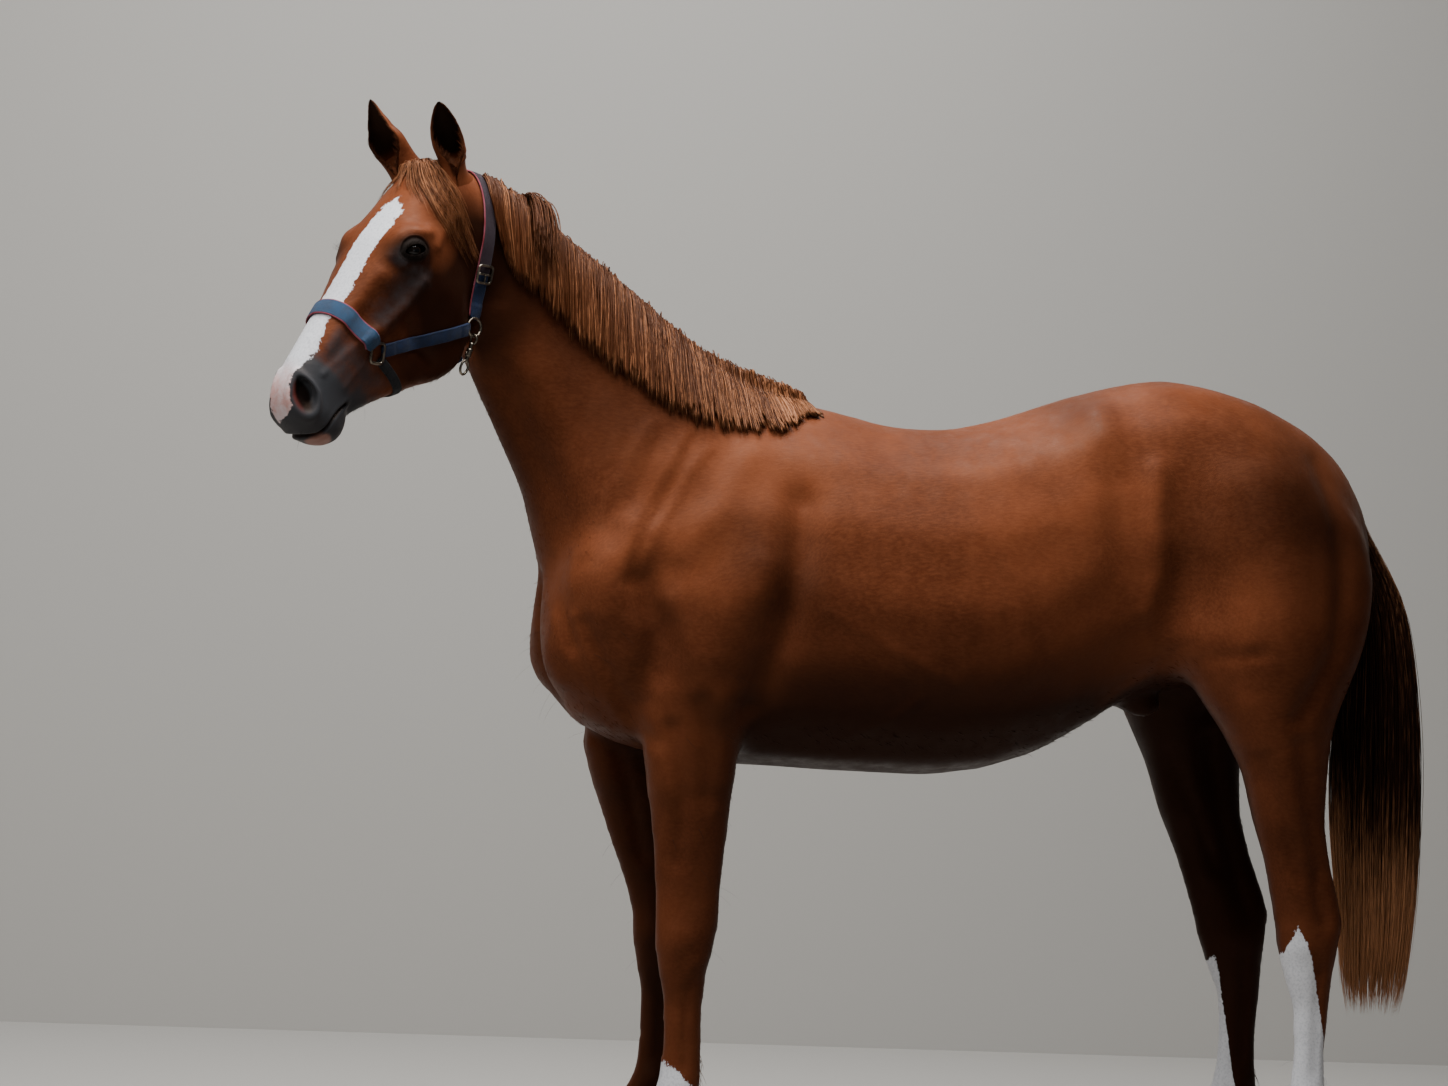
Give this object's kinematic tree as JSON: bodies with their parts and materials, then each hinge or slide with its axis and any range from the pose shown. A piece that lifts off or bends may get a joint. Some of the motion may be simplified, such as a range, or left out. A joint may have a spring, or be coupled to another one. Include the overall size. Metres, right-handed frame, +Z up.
{
  "type": "horse",
  "caption": "Life-size standing chestnut horse, head turned to its left, with a white blaze, white socks and a webbing halter; stands on its hooves.",
  "frame": {"origin": "on the floor under the middle of the bounding box", "axes": "the horse faces -Y, its left side is +X, +Z is up"},
  "size_m": [0.6756, 2.4372, 2.1217],
  "materials": {
    "coat": "short glossy chestnut hair with white markings",
    "mane_hair": "long straight hair, reddish to flaxen",
    "tail_hair": "long dark hair, lighter at the end",
    "horn": "satin horn with fine rings",
    "eye": "wet gloss",
    "webbing": "woven navy webbing with coloured piping",
    "steel": "worn bright metal"
  },
  "bodies": {
    "root": {"head": "coat", "neck": "coat", "trunk": "coat", "foreleg_left": "coat", "foreleg_right": "coat", "hindleg_left": "coat", "hindleg_right": "coat", "ear_left": "coat", "ear_right": "coat", "tail_dock": "coat", "fore_hoof_left": "horn", "fore_hoof_right": "horn", "hind_hoof_left": "horn", "hind_hoof_right": "horn", "eye_left": "eye", "eye_right": "eye", "mane": "mane_hair", "forelock": "mane_hair", "tail": "tail_hair", "halter_noseband": "webbing", "halter_chin_strap": "webbing", "halter_throat_strap": "webbing", "halter_cheek_strap_left": "webbing", "halter_cheek_strap_right": "webbing", "halter_crownpiece": "webbing", "halter_jaw_ring_left": "steel", "halter_jaw_ring_right": "steel", "halter_nose_ring_left": "steel", "halter_nose_ring_right": "steel", "halter_buckle": "steel"}
  },
  "joints": []
}
